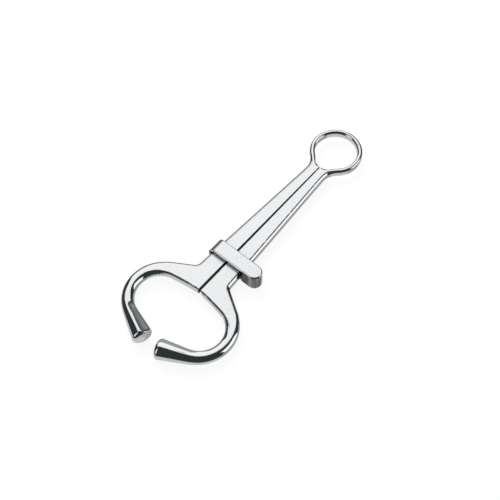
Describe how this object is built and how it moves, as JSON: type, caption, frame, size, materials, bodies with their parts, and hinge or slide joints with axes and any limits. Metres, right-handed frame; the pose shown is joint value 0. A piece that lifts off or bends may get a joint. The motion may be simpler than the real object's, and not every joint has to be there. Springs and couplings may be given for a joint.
{
  "type": "cattle nose holder",
  "caption": "Polished cattle nose holder: a sprung lead ring carries tapering arms with curved blunt jaws, and a thumb slider on the arms draws the jaws shut.",
  "frame": {"origin": "centre of the lead ring's eye, at mid height of the part", "axes": "+Z along the axis of the eye, +Y along the arms from the jaws to the ring, +X to the side of the slider's thumb lug"},
  "size_m": [0.0772, 0.1978, 0.013],
  "materials": {
    "forging": "polished nickel-chrome plate on forged steel",
    "slider": "polished nickel-chrome plate",
    "rivets": "polished, dressed flush"
  },
  "bodies": {
    "ring": {"spring_ring": "forging"},
    "left_jaw": {"left_arm": "forging"},
    "right_jaw": {"right_arm": "forging"},
    "slider": {"slider_yoke": "slider", "slider_lug": "slider", "rivet_inner": "rivets", "rivet_outer": "rivets"}
  },
  "joints": [
    {"name": "slider_slide", "type": "slide", "parent": "ring", "child": "slider", "axis": [0, 1, 0], "range_m": [-0.0075, 0.08]},
    {"name": "left_jaw_flex", "type": "hinge", "parent": "ring", "child": "left_jaw", "pos_m": [-0.011, 0.0044, 0], "axis": [0, 0, -1], "range_deg": [-0.24, 2.53], "deforming": ["spring_ring"]},
    {"name": "right_jaw_flex", "type": "hinge", "parent": "ring", "child": "right_jaw", "pos_m": [0.011, 0.0044, 0], "axis": [0, 0, 1], "range_deg": [-0.24, 2.53], "deforming": ["spring_ring"]}
  ],
  "couplings": [
    {"joint": "left_jaw_flex", "follows": "slider_slide", "rad_per_m": 0.55},
    {"joint": "right_jaw_flex", "follows": "slider_slide", "rad_per_m": 0.55}
  ]
}
